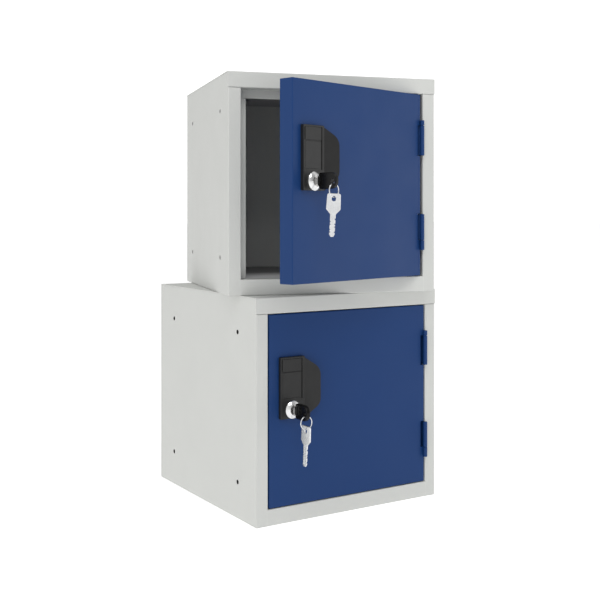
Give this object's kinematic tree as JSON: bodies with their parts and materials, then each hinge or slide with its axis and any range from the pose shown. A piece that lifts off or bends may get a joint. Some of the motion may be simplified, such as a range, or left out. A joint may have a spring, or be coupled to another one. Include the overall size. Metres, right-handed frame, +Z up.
{
  "type": "school locker",
  "caption": "Stack of cube steel lockers, the upper turned and ajar, with flush doors, moulded pull handles, cam locks and hanging keys.",
  "frame": {"origin": "centre of the lower locker's base, on the floor", "axes": "+Z up the stack, -Y out of the lower locker's front, +X to its right as seen from the front"},
  "size_m": [0.374, 0.4688, 0.6102],
  "materials": {
    "body_grey": "light grey powder coat, satin",
    "door_blue": "blue powder coat, satin",
    "pin_blue": "steel pin painted over with the door",
    "handle_black": "moulded black nylon",
    "insert_black": "moulded black insert",
    "bow_black": "moulded black key bow",
    "rubber_black": "soft buffer",
    "zinc_plate": "bright zinc plate",
    "lock_chrome": "polished chrome on die-cast zinc",
    "plug_nickel": "nickel plate",
    "key_nickel": "nickel-plated steel",
    "ring_nickel": "bright wire"
  },
  "bodies": {
    "lower_carcass": {"lower_left_side": "body_grey", "lower_right_side": "body_grey", "lower_top_tray": "body_grey", "lower_bottom_tray": "body_grey", "lower_back_panel": "body_grey", "lower_top_hinge_frame_leaf": "door_blue", "lower_top_hinge_pin": "pin_blue", "lower_bottom_hinge_frame_leaf": "door_blue", "lower_bottom_hinge_pin": "pin_blue"},
    "lower_door": {"lower_door_pan": "door_blue", "lower_door_buffers": "rubber_black", "lower_handle": "handle_black", "lower_number_insert": "insert_black", "lower_handle_screws": "zinc_plate", "lower_lock_housing": "lock_chrome", "lower_lock_washer": "zinc_plate", "lower_lock_nut": "zinc_plate", "lower_top_hinge_door_leaf": "door_blue", "lower_bottom_hinge_door_leaf": "door_blue"},
    "lower_lock_core": {"lower_lock_plug": "plug_nickel", "lower_lock_cam": "zinc_plate", "lower_cam_screw": "zinc_plate"},
    "lower_key": {"lower_key_blade": "key_nickel", "lower_key_bow": "bow_black"},
    "lower_ring": {"lower_key_ring": "ring_nickel"},
    "lower_spare": {"lower_spare_key": "key_nickel"},
    "upper_carcass": {"upper_left_side": "body_grey", "upper_right_side": "body_grey", "upper_top_tray": "body_grey", "upper_bottom_tray": "body_grey", "upper_back_panel": "body_grey", "upper_top_hinge_frame_leaf": "door_blue", "upper_top_hinge_pin": "pin_blue", "upper_bottom_hinge_frame_leaf": "door_blue", "upper_bottom_hinge_pin": "pin_blue"},
    "upper_door": {"upper_door_pan": "door_blue", "upper_door_buffers": "rubber_black", "upper_handle": "handle_black", "upper_number_insert": "insert_black", "upper_handle_screws": "zinc_plate", "upper_lock_housing": "lock_chrome", "upper_lock_washer": "zinc_plate", "upper_lock_nut": "zinc_plate", "upper_top_hinge_door_leaf": "door_blue", "upper_bottom_hinge_door_leaf": "door_blue"},
    "upper_lock_core": {"upper_lock_plug": "plug_nickel", "upper_lock_cam": "zinc_plate", "upper_cam_screw": "zinc_plate"},
    "upper_key": {"upper_key_blade": "key_nickel", "upper_key_bow": "bow_black"},
    "upper_ring": {"upper_key_ring": "ring_nickel"},
    "upper_spare": {"upper_spare_key": "key_nickel"}
  },
  "joints": [
    {"name": "upper_turn", "type": "hinge", "parent": "lower_carcass", "child": "upper_carcass", "pos_m": [0.0167, 0.0007, 0.3052], "axis": [0, 0, 1], "range_deg": [-30, 45]},
    {"name": "lower_door_hinge", "type": "hinge", "parent": "lower_carcass", "child": "lower_door", "pos_m": [0.1315, -0.1559, 0.1525], "axis": [0, 0, 1], "range_deg": [0, 170]},
    {"name": "lower_lock_turn", "type": "hinge", "parent": "lower_door", "child": "lower_lock_core", "pos_m": [-0.0977, -0.1616, 0.153], "axis": [0, 1, 0], "range_deg": [0, 90]},
    {"name": "lower_key_slide", "type": "slide", "parent": "lower_lock_core", "child": "lower_key", "axis": [0, -1, 0], "range_m": [0, 0.022]},
    {"name": "lower_ring_swing", "type": "hinge", "parent": "lower_key", "child": "lower_ring", "pos_m": [-0.0977, -0.191, 0.14944], "axis": [-1, 0, 0], "range_deg": [-10, 50]},
    {"name": "lower_spare_swing", "type": "hinge", "parent": "lower_ring", "child": "lower_spare", "pos_m": [-0.0977, -0.191, 0.13223], "axis": [-1, 0, 0], "range_deg": [-10, 22]},
    {"name": "upper_door_hinge", "type": "hinge", "parent": "upper_carcass", "child": "upper_door", "pos_m": [0.10298, -0.1841, 0.4577], "axis": [0, 0, 1], "range_deg": [-29.5, 140.5]},
    {"name": "upper_lock_turn", "type": "hinge", "parent": "upper_door", "child": "upper_lock_core", "pos_m": [-0.11762, -0.24655, 0.4582], "axis": [-0.2484, 0.9687, 0], "range_deg": [0, 90]},
    {"name": "upper_key_slide", "type": "slide", "parent": "upper_lock_core", "child": "upper_key", "axis": [0.2484, -0.9687, 0], "range_m": [0, 0.022]},
    {"name": "upper_ring_swing", "type": "hinge", "parent": "upper_key", "child": "upper_ring", "pos_m": [-0.11032, -0.27503, 0.45464], "axis": [-0.9687, -0.2484, 0], "range_deg": [-10, 50]},
    {"name": "upper_spare_swing", "type": "hinge", "parent": "upper_ring", "child": "upper_spare", "pos_m": [-0.11032, -0.27503, 0.43744], "axis": [-0.9687, -0.2484, 0], "range_deg": [-10, 22]}
  ]
}
